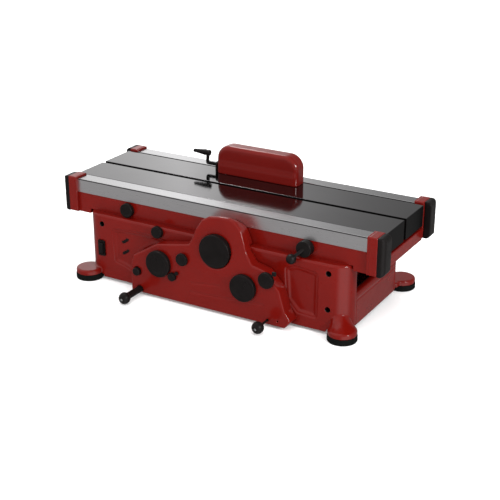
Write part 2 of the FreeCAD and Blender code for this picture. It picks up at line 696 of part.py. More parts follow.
def make_lift():
    """Two racks stand on the head; the crank shaft's pinions drive them up and down."""
    rack_y = "crank_y + pinion_radius + pinion_gap + rack_radius"
    racks = [rod("z", ("head_top", "rack_top"), (x, rack_y), "rack_radius")
             for x in ("rack_left", "rack_right")]
    keep("lift_racks", group(*racks))
    shaft = rod("x", ("housing_left - 31", "housing_right - 2.5"), ("crank_y", "crank_z"),
                "crank_shaft_radius")
    pinions = [rod("x", (f"{x} - pinion_half", f"{x} + pinion_half"), ("crank_y", "crank_z"),
                   "pinion_radius") for x in ("rack_left", "rack_right")]
    keep("crank_shaft", fuse(shaft, *pinions))

    hub_x = "housing_left - 37"
    hub = rod("x", (f"{hub_x} - 6", f"{hub_x} + 6"), ("crank_y", "crank_z"), 7)
    web = rod("z", ("crank_z", "crank_z + crank_throw"), (hub_x, "crank_y"), 4.2)
    boss = rod("x", (f"{hub_x} - 5", f"{hub_x} + 8"), ("crank_y", "crank_z + crank_throw"), 8.5)
    spindle = rod("x", (f"{hub_x} - 46", f"{hub_x} - 4"), ("crank_y", "crank_z + crank_throw"),
                  "spindle_radius")
    socket = rod("x", (f"{hub_x} + 5.9", f"{hub_x} + 7"), ("crank_y", "crank_z"), "crank_shaft_radius")
    keep("crank_arm", cut(fuse(hub, web, boss, spindle), socket))
    grip = taper("x", (f"{hub_x} - 48", f"{hub_x} - 5.5"), ("crank_y", "crank_z + crank_throw"), 4.8, 8.8)
    bore = rod("x", (f"{hub_x} - 46.5", f"{hub_x} - 5"), ("crank_y", "crank_z + crank_throw"),
               "spindle_radius + running_gap")
    keep("crank_grip", cut(grip, bore))


def make_housing():
    """The rounded red housing on the deck over the crank shaft, its pinions and the racks."""
    owner = body()
    face = sketch(owner, "XZ_Plane", "-housing_front")
    rectangle(face, ("housing_left", "housing_right"), ("rail_top", "housing_top"))
    pad(owner, face, "housing_back - housing_front", back=True)
    top = SIZES["housing_top"]
    round_body(owner, "housing_corner", lambda edge: crosswise(edge) and abs(centre(edge).z - top) < 0.1)
    round_body(owner, "13", lambda edge: any(flat_at_y(edge, SIZES[name])
                                             for name in ("housing_front", "housing_back"))
               and centre(edge).z > SIZES["rail_top"] + 1)
    hollow = sketch(owner, "XY_Plane", "rail_top")
    rectangle(hollow, ("housing_left + housing_wall", "housing_right - 2 * housing_wall"),
              ("housing_front + housing_wall", "housing_back - housing_wall"))
    pocket(owner, hollow, "housing_top - rail_top - housing_wall - 36", back=True)
    upper = sketch(owner, "XY_Plane", "rail_top")
    rectangle(upper, ("housing_left + 36", "housing_right - 36"), ("housing_front + 14", "housing_back - 10"))
    pocket(owner, upper, "housing_top - rail_top - housing_wall", back=True)
    shaft_way = sketch(owner, "YZ_Plane", "housing_left - 1")
    ring(shaft_way, "crank_y", "crank_z", "crank_shaft_radius + 1")
    pocket(owner, shaft_way, "housing_wall + 3", back=True)
    bearing = sketch(owner, "YZ_Plane", "housing_right - 2 * housing_wall - 1")
    ring(bearing, "crank_y", "crank_z", "crank_shaft_radius + running_gap")
    pocket(owner, bearing, 5, back=True)
    keep("gear_housing", owner)

    plate = block(("housing_left - 5", "housing_left"), ("crank_y - 11", "crank_y + 11"),
                  ("rail_top + 0.5", "crank_z + 10"))
    plate = rounded(plate, 9, lambda edge: lengthwise(edge) and centre(edge).z > SIZES["crank_z"])
    keep("crank_plate", cut(plate, rod("x", ("housing_left - 9", "housing_left + 1"),
                                       ("crank_y", "crank_z"), "crank_shaft_radius + running_gap")))


# ---------------------------------------------------------------- drive cover and controls

COVER_OUTLINE = (
    (-232, 8), (253, 8), (271, 29), (254, 52), (236, 110), (194, 154), (152, 163), (133, 190),
    (122, 220), (111, 247), (94, 265), (72, "arch_top"), (45, "arch_top - 1"), (12, 266), (-8, 254),
    (-24, 229), (-32, 206), (-44, 181), (-147, 162), (-173, 146), (-221, 117), (-230, 87),
)
ARCH_BACK = ((124, 197.4), (118, 218), (106, 243), (91, 259), (70, 265), (45, 264), (15, 260), (-3, 250),
             (-18, 227), (-26, 206), (-36, 197.4))
ROLLER_KNOBS = (("roller_knob_left", (-134.5, 110.5)), ("roller_knob_right", (132, 99)))
SPEED_KNOB = (-59, 138)
MOTOR_CAP = (40, 179)
FEED_SELECTOR = (201, 135.5)
RESET_BUTTON = (-210, 71)
DEPTH_STOP = (-91.5, 81)
LEFT_PLUNGER = (-204, 18)
RIGHT_PLUNGER = (202.5, 20.3)
DRAIN_HOLE = (232, 23)
PLUNGER_RADIUS = 16.4
STEM = 5
STEM_END = 204
KNOB_BACK = 230.4
CAP_RADIUS = 46.5
CAP_SEAT = -214
AHEAD = -245


def shrunk(corners, across, up):
    """The same outline, drawn in towards the cover's middle to leave a wall."""
    return [(20 + (x - 20) * across, 130 + (number(z) - 130) * up) for x, z in corners]


def make_drive_cover():
    """The cover on the front: it leans back above its middle, and its arch laps the rail."""
    owner = body()
    face = sketch(owner, "XZ_Plane", "front_reach + 0.2")
    outline(face, COVER_OUTLINE)
    pad(owner, face, "cover_front - front_reach - 0.2")
    upper = sketch(owner, "XZ_Plane", "rail_outer + safe_gap")
    outline(upper, ARCH_BACK)
    pad(owner, upper, "front_reach - rail_outer + 5")
    lean = sketch(owner, "YZ_Plane", 0)
    outline(lean, [("-cover_front - 1", "lean_start"), ("-cover_front", "lean_start"),
                   ("cover_lean - cover_front", "arch_top + 1"), ("-cover_front - 1", "arch_top + 1")])
    pocket(owner, lean, 700, both=True)
    deep = sketch(owner, "XZ_Plane", "front_reach + 0.2")
    low_corners = [corner for corner in COVER_OUTLINE if number(corner[1]) < 120]
    outline(deep, shrunk(low_corners, 0.96, 0.94))
    pocket(owner, deep, "cover_front - front_reach - 0.2 - 5", back=True)
    wide = sketch(owner, "XZ_Plane", "front_reach + 0.2")
    outline(wide, shrunk(COVER_OUTLINE, 0.96, 0.94))
    pocket(owner, wide, 10, back=True)
    high = sketch(owner, "XZ_Plane", "rail_outer + safe_gap")
    outline(high, [(112, 203), (100, 239), (86, 252), (44, 258), (4, 248), (-12, 226), (-20, 203)])
    pocket(owner, high, "front_reach - rail_outer", back=True)

    through = (AHEAD, -190)
    tools = [rod("y", through, place_of, STEM_HOLE) for place_of in
             (*(place_of for _, place_of in ROLLER_KNOBS), SPEED_KNOB, FEED_SELECTOR, DEPTH_STOP)]
    tools.append(rod("y", (AHEAD, CAP_SEAT), MOTOR_CAP, CAP_RADIUS + 0.6))
    tools.append(rod("y", through, RESET_BUTTON, 11.9))
    tools.append(rod("y", through, LEFT_PLUNGER, "rod_radius + safe_gap"))
    tools.append(rod("y", through, RIGHT_PLUNGER, "spindle_radius + safe_gap"))
    tools.append(rod("y", (AHEAD, -222), DRAIN_HOLE, 2.5))
    keep("drive_cover", cut(owner, *tools))
    cap = rod("y", (-230, CAP_SEAT), MOTOR_CAP, CAP_RADIUS)
    keep("motor_cap", rounded(cap, 3, lambda edge: flat_at_y(edge, -230)))


def knob(middle, radius, front, back, stem_end):
    """A round knob that faces the front, with the stem that it turns on."""
    disc = rod("y", (-front, -back), middle, radius)
    disc = rounded(disc, 2, lambda edge: flat_at_y(edge, -front))
    return fuse(disc, rod("y", (-back - 1, -stem_end), middle, STEM))


def pointer(middle, offset, half_width, front, back):
    """A finger lug beside a knob's rim, up and to the right, and the arm that holds it."""
    x, z = middle
    lug_x, lug_z = x + offset[0], z + offset[1]
    lug = block((lug_x - half_width, lug_x + half_width), (-front, -back),
                (lug_z - half_width, lug_z + half_width))
    length = math.hypot(*offset)
    arm = block((0, length), (-front + 1, -back - 0.5), (-3, 3))
    arm_angle = -math.degrees(math.atan2(offset[1], offset[0]))
    tilted = doc.addObject("Part::Compound", "arm")
    tilted.Links = [arm]
    tilted.Placement = FreeCAD.Placement(Vector(x, 0, z), FreeCAD.Rotation(Vector(0, 1, 0), arm_angle))
    return fuse(rounded(lug, 2, crosswise), tilted)


def make_controls():
    for node, middle in ROLLER_KNOBS:
        keep(node, knob(middle, 38, 242, KNOB_BACK, STEM_END))
    keep("speed_knob", knob(SPEED_KNOB, 17.8, 238, KNOB_BACK, STEM_END))
    selector = knob(FEED_SELECTOR, 22.5, 240, KNOB_BACK, STEM_END)
    keep("feed_selector", fuse(selector, pointer(FEED_SELECTOR, (23.6, 22.8), 6, 238, 231)))
    stop = knob(DEPTH_STOP, 12, 240, KNOB_BACK, STEM_END)
    keep("depth_stop_knob", fuse(stop, pointer(DEPTH_STOP, (15, 13), 4.5, 238, 231)))
    keep("rail_knob", knob(RAIL_KNOB, 20.5, 180, 167.5, 163))
    keep("hood_knob", knob(HOOD_KNOB, 17.4, 202, 190.4, 185))
    button = rod("y", (-240, -212), RESET_BUTTON, 11.4)
    keep("reset_button", rounded(button, 2, lambda edge: flat_at_y(edge, -240)))

    hub = knob(FEED_LEVER, 21.5, 188, 167.5, 163)
    x, z = FEED_LEVER
    grip = Vector(258, -206, 197)
    start = Vector(x, -184, z)
    arm = doc.addObject("Part::Cylinder", "arm")
    arm.Radius = 4.5
    arm.Height = (grip - start).Length
    arm.Placement = FreeCAD.Placement(start, FreeCAD.Rotation(Vector(0, 0, 1), grip - start))
    head = ball(grip.x, grip.y, grip.z, 13.5)
    keep("feed_lever", cut(fuse(hub, arm), head))
    keep("lever_ball", head)

    for node, middle, rod_radius, ball_y in (
            ("left_plunger", LEFT_PLUNGER, "rod_radius", f"{PLUNGER_RADIUS} - reach"),
            ("right_plunger", RIGHT_PLUNGER, "spindle_radius", "-279")):
        x, z = middle
        keep(node, fuse(rod("y", (ball_y, -191.5), middle, rod_radius), ball(x, ball_y, z, PLUNGER_RADIUS)))

    bezel = block(SWITCH_X, (-195, -172), SWITCH_Z)
    well = block((SWITCH_X[0] + 3, SWITCH_X[1] - 3), (-196, -178), (SWITCH_Z[0] + 4, SWITCH_Z[1] - 4))
    keep("switch_housing", cut(bezel, well))
    rocker = block((SWITCH_X[0] + 3.6, SWITCH_X[1] - 3.6), (-199, -188),
                   (SWITCH_Z[0] + 6, SWITCH_Z[1] - 6))
    keep("power_rocker", rounded(rocker, 2.5, lengthwise))


def make_dust_hood():
    """The chip chute on the back and the round port for an extractor hose."""
    mouth = "reach - port_length"
    box = block(("port_x - 50", "port_x + 50"), ("rear_reach", mouth), ("port_z - 50", "port_z + 50"))
    box = rounded(box, 6, crosswise)
    tube = rod("y", (mouth, "reach"), ("port_x", "port_z"), "port_radius")
    way = block(("port_x - 42", "port_x + 42"), ("rear_reach - 1", mouth), ("port_z - 36", "port_z + 36"))
    bore = rod("y", (f"{mouth} - 1", "reach + 1"), ("port_x", "port_z"), "port_radius - 3")
    keep("dust_hood", cut(fuse(box, tube), way, bore))


make_base()
make_feet()
make_beams()
make_rails()
make_brackets()
make_tables()
make_bed()
make_head()
make_cutter()
make_rollers()
make_lift()
make_housing()
make_drive_cover()
make_controls()
make_dust_hood()

doc.recompute()
for item in doc.Objects:
    if "Invalid" in item.State or "Error" in item.State:
        raise ValueError(f"{item.Name} {item.Label} failed: {item.State}")
os.makedirs("parts", exist_ok=True)
for node, item in parts.items():
    shape = item.Shape
    if shape.isNull() or not shape.isValid():
        raise ValueError(f"{node} has a bad shape")
    print(node, len(shape.Solids), round(shape.Volume / 1000, 1), "cm3")
    shape.exportStep(f"parts/{node}.step")
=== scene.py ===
import json
import math

import bmesh
import bpy
from mathutils import Matrix, Vector
import numpy as np


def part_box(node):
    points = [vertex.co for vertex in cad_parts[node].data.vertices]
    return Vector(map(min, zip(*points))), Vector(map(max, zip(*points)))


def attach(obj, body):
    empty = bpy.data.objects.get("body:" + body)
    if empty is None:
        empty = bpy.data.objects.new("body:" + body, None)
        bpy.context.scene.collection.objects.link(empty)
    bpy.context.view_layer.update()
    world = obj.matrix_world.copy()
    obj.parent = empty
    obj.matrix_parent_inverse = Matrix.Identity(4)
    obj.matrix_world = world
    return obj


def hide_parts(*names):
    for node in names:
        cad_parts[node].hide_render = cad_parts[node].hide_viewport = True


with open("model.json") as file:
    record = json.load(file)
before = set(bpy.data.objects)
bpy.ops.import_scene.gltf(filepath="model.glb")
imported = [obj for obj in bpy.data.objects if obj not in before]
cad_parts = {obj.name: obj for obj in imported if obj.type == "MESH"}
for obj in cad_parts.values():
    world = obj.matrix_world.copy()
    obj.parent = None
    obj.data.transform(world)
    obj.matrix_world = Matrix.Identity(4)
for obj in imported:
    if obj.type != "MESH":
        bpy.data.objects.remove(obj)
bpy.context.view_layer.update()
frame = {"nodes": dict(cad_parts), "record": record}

MM = 0.001
scene = bpy.context.scene
nodes = frame["nodes"]


# ---------------------------------------------------------------- materials

NOISE_LOW, NOISE_HIGH = 0.3, 0.7
SIDEWAYS, UPWARD = 0.35, 0.85


class Paint:
    """A node material built a step at a time."""

    def __init__(self, name, color, roughness, metallic=0.0):
        self.material = bpy.data.materials.new(name)
        self.material.use_nodes = True
        self.tree = self.material.node_tree
        self.shader = self.tree.nodes["Principled BSDF"]
        self.shader.inputs["Base Color"].default_value = (*color, 1)
        self.shader.inputs["Roughness"].default_value = roughness
        self.shader.inputs["Metallic"].default_value = metallic
        self.color = color

    def add(self, kind, **values):
        node = self.tree.nodes.new(kind)
        for key, value in values.items():
            setattr(node, key, value)
        return node

    def link(self, source, target):
        self.tree.links.new(source, target)

    def place(self, stretch=(1, 1, 1)):
        """Object coordinates, stretched to run a grain along an axis."""
        coordinates = self.add("ShaderNodeTexCoord")
        mapping = self.add("ShaderNodeMapping")
        mapping.inputs["Scale"].default_value = stretch
        self.link(coordinates.outputs["Object"], mapping.inputs["Vector"])
        return mapping.outputs["Vector"]

    def noise(self, scale, detail=3.0, stretch=(1, 1, 1), roughness=0.5):
        texture = self.add("ShaderNodeTexNoise")
        texture.inputs["Scale"].default_value = scale
        texture.inputs["Detail"].default_value = detail
        texture.inputs["Roughness"].default_value = roughness
        self.link(self.place(stretch), texture.inputs["Vector"])
        return texture.outputs["Fac"]

    def spread(self, source, low, high):
        """Map the middle part of a noise, where most of its values lie, onto low to high."""
        ramp = self.add("ShaderNodeMapRange")
        ramp.inputs["From Min"].default_value = NOISE_LOW
        ramp.inputs["From Max"].default_value = NOISE_HIGH
        ramp.inputs["To Min"].default_value = low
        ramp.inputs["To Max"].default_value = high
        self.link(source, ramp.inputs["Value"])
        return ramp.outputs["Result"]

    def vary_color(self, source, other):
        """Mix the plain colour with another by a noise; returns the mixed colour."""
        mix = self.add("ShaderNodeMix", data_type="RGBA")
        mix.inputs["A"].default_value = (*self.color, 1)
        mix.inputs["B"].default_value = (*other, 1)
        self.link(self.spread(source, 0.0, 1.0), mix.inputs["Factor"])
        self.link(mix.outputs["Result"], self.shader.inputs["Base Color"])
        return mix.outputs["Result"]

    def vary_roughness(self, source, low, high):
        self.link(self.spread(source, low, high), self.shader.inputs["Roughness"])

    def bump(self, source, strength, distance):
        node = self.add("ShaderNodeBump")
        node.inputs["Strength"].default_value = strength
        node.inputs["Distance"].default_value = distance
        self.link(source, node.inputs["Height"])
        self.link(node.outputs["Normal"], self.shader.inputs["Normal"])

    def set(self, **values):
        for name, value in values.items():
            self.shader.inputs[name.replace("_", " ")].default_value = value


def red_paint():
    paint = Paint("red_paint", (0.122, 0.0034, 0.0018), 0.33, 0.0)
    paint.vary_color(paint.noise(9.0, 4.0), (0.108, 0.0027, 0.0014))
    paint.vary_roughness(paint.noise(35.0, 4.0), 0.27, 0.4)
    paint.bump(paint.noise(420.0, 2.0), 0.08, 0.0003)
    paint.set(Coat_Weight=0.55, Coat_Roughness=0.1, Specular_IOR_Level=0.05)
    return paint.material


def gloss_and_shade_by_facing(paint, top, side, top_gloss, side_gloss):
    """Give the faces that look up one colour and gloss and the others another; the colour split is painted
    shade.
    """
    facing = paint.add("ShaderNodeNewGeometry")
    split = paint.add("ShaderNodeSeparateXYZ")
    paint.link(facing.outputs["True Normal"], split.inputs["Vector"])
    upward = paint.add("ShaderNodeMapRange")
    upward.inputs["From Min"].default_value = SIDEWAYS
    upward.inputs["From Max"].default_value = UPWARD
    paint.link(split.outputs["Z"], upward.inputs["Value"])
    for kind, low, high, target in (("RGBA", side, top, "Base Color"),
                                    ("FLOAT", side_gloss, top_gloss, "Roughness")):
        mix = paint.add("ShaderNodeMix", data_type=kind)
        paint.link(upward.outputs["Result"], mix.inputs["Factor"])
        for socket, value in (("A", low), ("B", high)):
            if isinstance(value, bpy.types.NodeSocket):
                paint.link(value, mix.inputs[socket])
            else:
                mix.inputs[socket].default_value = value
        paint.link(mix.outputs["Result"], paint.shader.inputs[target])


def brushed_rail():
    """A bright brushed face; the strip on top is glossier, and its colour is painted darker as shade."""
    paint = Paint("rail_aluminium", (0.86, 0.84, 0.85), 0.34, 1.0)
    grain = paint.noise(60.0, 5.0, (0.35, 14.0, 14.0), 0.6)
    side = paint.vary_color(grain, (0.76, 0.74, 0.75))
    paint.bump(grain, 0.1, 0.0003)
    # The top's colour is painted darker than the sides as shade.
    gloss_and_shade_by_facing(paint, (0.36, 0.355, 0.36, 1), side,
                paint.spread(grain, 0.16, 0.26), paint.spread(grain, 0.26, 0.4))
    return paint.material


def ground_table():
    """Polished on top; its cut edges and the slot's walls are painted near-black as shade."""
    paint = Paint("ground_table", (0.112, 0.108, 0.11), 0.1, 1.0)
    grain = paint.noise(40.0, 5.0, (0.5, 16.0, 1.0), 0.6)
    top = paint.vary_color(paint.noise(6.0, 4.0), (0.097, 0.093, 0.095))
    paint.bump(grain, 0.03, 0.0001)
    # The sides and the slot's walls are painted near-black as shade.
    gloss_and_shade_by_facing(paint, top, (0.014, 0.013, 0.013, 1), paint.spread(grain, 0.06, 0.12), 0.55)
    return paint.material


def steel():
    paint = Paint("bare_steel", (0.42, 0.42, 0.425), 0.3, 1.0)
    grain = paint.noise(90.0, 4.0, (4.0, 1.0, 4.0))
    paint.vary_roughness(grain, 0.22, 0.42)
    paint.bump(grain, 0.08, 0.0002)
    return paint.material


# Dark steel for the crank shaft; the same near-black is painted shade in the deck slot, the rail's groove and
# the ledge under the table.
def dark_steel_and_shade():
    paint = Paint("dark_steel_and_painted_shade", (0.006, 0.0055, 0.0055), 0.6, 0.0)
    paint.vary_roughness(paint.noise(70.0, 3.0), 0.5, 0.7)
    paint.set(Specular_IOR_Level=0.05)
    return paint.material


def cast_aluminium():
    paint = Paint("cast_aluminium", (0.4, 0.4, 0.405), 0.5, 1.0)
    grain = paint.noise(300.0, 3.0)
    paint.vary_roughness(grain, 0.42, 0.6)
    paint.bump(grain, 0.3, 0.0004)
    return paint.material


def black_plastic():
    paint = Paint("black_plastic", (0.0042, 0.0032, 0.003), 0.34)
    grain = paint.noise(900.0, 2.0)
    paint.vary_color(paint.noise(25.0, 3.0), (0.006, 0.0046, 0.0045))
    paint.vary_roughness(paint.noise(60.0, 3.0), 0.3, 0.46)
    paint.bump(grain, 0.15, 0.0002)
    paint.set(Specular_IOR_Level=0.14)
    return paint.material


def rubber():
    paint = Paint("rubber", (0.0034, 0.0038, 0.0035), 0.7)
    grain = paint.noise(500.0, 3.0)
    paint.vary_color(paint.noise(30.0, 3.0), (0.006, 0.0065, 0.006))
    paint.vary_roughness(grain, 0.6, 0.85)
    paint.bump(grain, 0.25, 0.0003)
    paint.set(Specular_IOR_Level=0.03)
    return paint.material


RED = red_paint()
BLACK = black_plastic()
STEEL = steel()
MATERIALS = {
    "red_paint": RED, "red_casting": RED, "rail_aluminium": brushed_rail(), "polished_table": ground_table(),
    "black_plastic": BLACK, "rubber": rubber(), "bare_steel": STEEL, "cast_aluminium": cast_aluminium(),
}
SLOT_OF = {entry["node"]: entry["material_slot"] for entry in frame["record"]["subparts"]}
BODY_OF = {node: body for body, owned in frame["record"]["behaviour"]["bodies"].items() for node in owned}
DARK_STEEL_AND_SHADE = dark_steel_and_shade()

for node, slot in SLOT_OF.items():
    holder = nodes[node]
    holder.data.materials.clear()
    # The deck spine's black is painted shade in the slot under the deck; the crank shaft is dark steel.
    holder.data.materials.append(DARK_STEEL_AND_SHADE if node in ("crank_shaft", "deck_spine") else MATERIALS[slot])


# ---------------------------------------------------------------- meshes

def read(mesh):
    """The mesh's vertices in millimetres."""
    flat = np.empty(len(mesh.vertices) * 3)
    mesh.vertices.foreach_get("co", flat)
    return flat.reshape(-1, 3) / MM


def write(mesh, points):
    mesh.vertices.foreach_set("co", (points * MM).ravel())
    mesh.update()


def box_mm(node):
    return tuple(np.array(corner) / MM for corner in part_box(node))


def finish_piece(piece, node, material=None, smooth_angle=None):
    """Give the piece its material and body, and hide the CAD node it stands in for."""
    mesh = piece.data
    if not mesh.materials:
        mesh.materials.append(material or MATERIALS[SLOT_OF[node]])
    mesh.shade_smooth()
    if smooth_angle is not None:
        mesh.set_sharp_from_angle(angle=math.radians(smooth_angle))
    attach(piece, BODY_OF[node])
    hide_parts(node)


def new_object(name, mesh):
    piece = bpy.data.objects.new(name, mesh)
    scene.collection.objects.link(piece)
    return piece


def object_from(build, name):
    """Turn a finished bmesh into an object."""
    mesh = bpy.data.meshes.new(name)
    build.to_mesh(mesh)
    build.free()
    return new_object(name, mesh)


def bake(piece):
    """Work the piece's modifiers into its mesh."""
    graph = bpy.context.evaluated_depsgraph_get()
    mesh = bpy.data.meshes.new_from_object(piece.evaluated_get(graph))
    piece.modifiers.clear()
    piece.data = mesh


def casting(node, voxel, steps, shape=None, ratio=1.0, dark=None):
    """A soft-edged copy of a CAD node on a fine grid, kept inside the node's box.

    voxel is the grid in millimetres, steps the smoothing, ratio the share of faces that is kept.
    shape moves the points, and dark picks the faces that are painted black as shade.
    """
    source = nodes[node].data.copy()
    build = bmesh.new()
    build.from_mesh(source)
    bmesh.ops.remove_doubles(build, verts=build.verts, dist=1e-6)
    build.to_mesh(source)
    build.free()
    piece = new_object(node + "_fine", source)
    cells = piece.modifiers.new("cells", "REMESH")
    cells.mode = "VOXEL"
    cells.voxel_size = voxel * MM
    soft = piece.modifiers.new("soft", "SMOOTH")
    soft.factor = 0.5
    soft.iterations = steps
    bake(piece)
    low, high = box_mm(node)
    points = read(piece.data)
    if shape:
        points = shape(points)
    write(piece.data, np.clip(points, low, high))
    if ratio < 1:
        thin = piece.modifiers.new("thin", "DECIMATE")
        thin.ratio = ratio
        bake(piece)
    piece.data.materials.clear()
    piece.data.materials.append(MATERIALS[SLOT_OF[node]])
    # Faces in the bolt holes and vents are painted black as shade.
    if dark:
        piece.data.materials.append(BLACK)
        for face in piece.data.polygons:
            if dark(np.array(face.center) / MM):
                face.material_index = 1
    finish_piece(piece, node)


def smoothstep(value, start, end):
    part = np.clip((value - start) / (end - start), 0, 1)
    return part * part * (3 - 2 * part)


def line_distance(across, up, line):
    """Distance from each point to a chain of straight runs in the XZ plane."""
    nearest = np.full(across.shape, 1e9)
    for (ax, az), (bx, bz) in zip(line, line[1:]):
        dx, dz = bx - ax, bz - az
        part = np.clip(((across - ax) * dx + (up - az) * dz) / (dx * dx + dz * dz), 0, 1)
        nearest = np.minimum(nearest, np.hypot(across - ax - part * dx, up - az - part * dz))
    return nearest


def depth_inside(across, up, corners):
    """Distance in from the edge of a closed outline, negative outside it."""
    closed = list(corners) + [corners[0]]
    inside = np.zeros(across.shape, bool)
    for (ax, az), (bx, bz) in zip(closed, closed[1:]):
        crosses = (az > up) != (bz > up)
        at = ax + (up - az) * (bx - ax) / (bz - az if bz != az else 1e-9)
        inside ^= crosses & (across < at)
    distance = line_distance(across, up, closed)
    return np.where(inside, distance, -distance)


def groove(across, up, line, width, depth):
    """A soft channel along a line."""
    return depth * np.exp(-(line_distance(across, up, line) / width) ** 2)


def lathe(name, profile, middle, axis="y", segments=96, ribs=0, rib_depth=0.0, rib_from=1e9):
    """Turn a profile of (radius, place along the axis) pairs, in millimetres, about an axis."""
    build = bmesh.new()
    rings = []
    order = {"x": (0, 1, 2), "y": (1, 0, 2), "z": (2, 0, 1)}[axis]

    def point(along, first, second):
        place = [0.0, 0.0, 0.0]
        place[order[0]] = along
        place[order[1]] = middle[0] + first
        place[order[2]] = middle[1] + second
        return Vector(place) * MM

    for radius, along in profile:
        if radius < 1e-6:
            rings.append([build.verts.new(point(along, 0, 0))])
            continue
        ring = []
        for index in range(segments):
            angle = 2 * math.pi * index / segments
            wide = radius
            if ribs and radius >= rib_from:
                wide -= rib_depth * (0.5 + 0.5 * math.cos(ribs * angle))
            ring.append(build.verts.new(point(along, wide * math.cos(angle), wide * math.sin(angle))))
        rings.append(ring)
    for one, two in zip(rings, rings[1:]):
        for index in range(segments):
            after = (index + 1) % segments
            if len(one) == 1:
                build.faces.new((one[0], two[after], two[index]))
            elif len(two) == 1:
                build.faces.new((one[index], one[after], two[0]))
            else:
                build.faces.new((one[index], one[after], two[after], two[index]))
    bmesh.ops.recalc_face_normals(build, faces=build.faces)
    return object_from(build, name)


def rounded_profile(corners, radius, steps=5):
    """Round the inner corners of a (radius, along) profile."""
    result = [corners[0]]
    for before, corner, after in zip(corners, corners[1:], corners[2:]):
        here = Vector(corner)
        back = Vector(before) - here
        on = Vector(after) - here
        size = min(radius, back.length * 0.45, on.length * 0.45)
        start = here + back.normalized() * size
        end = here + on.normalized() * size
        for step in range(steps + 1):
            part = step / steps
            mixed = start * (1 - part) ** 2 + here * 2 * part * (1 - part) + end * part ** 2
            result.append((mixed.x, mixed.y))
    result.append(corners[-1])
    return result


def bar(name, low, high, bevel, segments=3):
    """A bevelled block between two corners, in millimetres."""
    build = bmesh.new()
    bmesh.ops.create_cube(build, size=1)
    low, high = Vector(low), Vector(high)
    for vertex in build.verts:
        part = vertex.co + Vector((0.5, 0.5, 0.5))
        vertex.co = Vector(low[i] + (high[i] - low[i]) * part[i] for i in range(3)) * MM
    bmesh.ops.bevel(build, geom=build.edges[:], offset=bevel * MM, segments=segments, profile=0.5,
                    affect="EDGES")
    return object_from(build, name)


def turned(piece, pivot, axis, degrees):
    """Turn a piece's mesh about a line through the pivot, in millimetres."""
    place = Matrix.Translation(Vector(pivot) * MM)
    turn = Matrix.Rotation(math.radians(degrees), 4, axis)
    piece.data.transform(place @ turn @ place.inverted())
    return piece


def joined(*pieces):
    """All the pieces' meshes in the first one."""
    build = bmesh.new()
    for piece in pieces:
        build.from_mesh(piece.data)
    build.to_mesh(pieces[0].data)
    build.free()
    for piece in pieces[1:]:
        bpy.data.objects.remove(piece)
    return pieces[0]


# ---------------------------------------------------------------- red castings

FRONT_WALL = -190.0
WALL_OUTSIDE = -186.2
WALL_HALF, WALL_SHOULDER = 366, 187
PANEL_ROUNDING = 11
PANEL_STEP, PANEL_DEPTH = 2.2, 3.6
LEFT_PANEL = ((-311, 150), (-267, 156), (-195, 157), (-148, 152), (-92, 149), (-60, 140), (-60, 40),
              (-240, 48), (-275, 62), (-307, 70))
RIGHT_PANEL = ((243, 155), (248, 79), (274, 51), (316, 49), (317, 157), (268, 163))
COVER_LIP = ((-232, 112), (-214, 126), (-190, 138), (-158, 149), (-112, 154), (-73, 157))
LIP_HEIGHT, LIP_WIDTH, LIP_END = 2.2, 7, -66
FLARE, FLARE_TOP, FLARE_FOOT = 3.2, 34, 9
BOLT_HOLES = ((-356, 169), (357, 171), (357, 71))
HOLE_RADIUS = 8.0
VENTS = ((-281, 96), (-281, 130))
VENT_TILT = math.radians(35)
VENT_HALF = 10.0
VENT_ROUND = 4.2
VENT_DEPTH = 1.4


def depth_in_vent(across, up):
    """How far a place lies inside the nearest slanted leaf vent; negative when outside."""
    nearest = np.full(np.shape(across), 1e6)
    for x, z in VENTS:
        along = (across - x) * math.cos(VENT_TILT) + (up - z) * math.sin(VENT_TILT)
        aside = (up - z) * math.cos(VENT_TILT) - (across - x) * math.sin(VENT_TILT)
        nearest = np.minimum(nearest, np.hypot(np.maximum(np.abs(along) - VENT_HALF, 0), aside))
    return VENT_ROUND - nearest


def front_face(points):
    """The two sunk panels, the leaf vents, the lip over the cover and the flare at the foot."""
    across, depth, up = points.T
    outside = (depth < WALL_OUTSIDE) & (depth > FRONT_WALL - 0.6) & (np.abs(across) < WALL_HALF)
    outside &= up < WALL_SHOULDER
    sunk = np.zeros(len(points))
    for corners in (LEFT_PANEL, RIGHT_PANEL):
        inside = depth_inside(across, up, corners) + PANEL_ROUNDING
        sunk += PANEL_STEP * smoothstep(inside, -1.5, 1.5) + PANEL_DEPTH * smoothstep(inside, 4, 14)
    lip = line_distance(across, up, COVER_LIP)
    sunk -= LIP_HEIGHT * np.exp(-(lip / LIP_WIDTH) ** 2) * (across < LIP_END)
    flare = FLARE * smoothstep(-up, -FLARE_TOP, -FLARE_FOOT)
    sunk += VENT_DEPTH * smoothstep(depth_in_vent(across, up), -0.8, 1.2)
    target = FRONT_WALL + sunk - flare
    result = points.copy()
    result[:, 1] = np.where(outside, target, depth)
    return result


def in_a_hole(place):
    """True inside the bolt holes and the two leaf vents, whose faces are painted black as shade."""
    across, depth, up = place
    if depth < FRONT_WALL + 9 and depth_in_vent(across, up) > 0:
        return True
    return depth > FRONT_WALL + 0.8 and any(math.hypot(across - x, up - z) < HOLE_RADIUS + 0.6
                                            for x, z in BOLT_HOLES)


COVER_CREASES = (((-36, 74), (10, 80), (53, 85)), ((-37, 47), (32, 50), (105, 56), (187, 61)))
CREASE_WIDTH, CREASE_DEPTH = 3.2, 1.3
ARCH_DROP = 7
HOUSING_SETBACK = 2.4


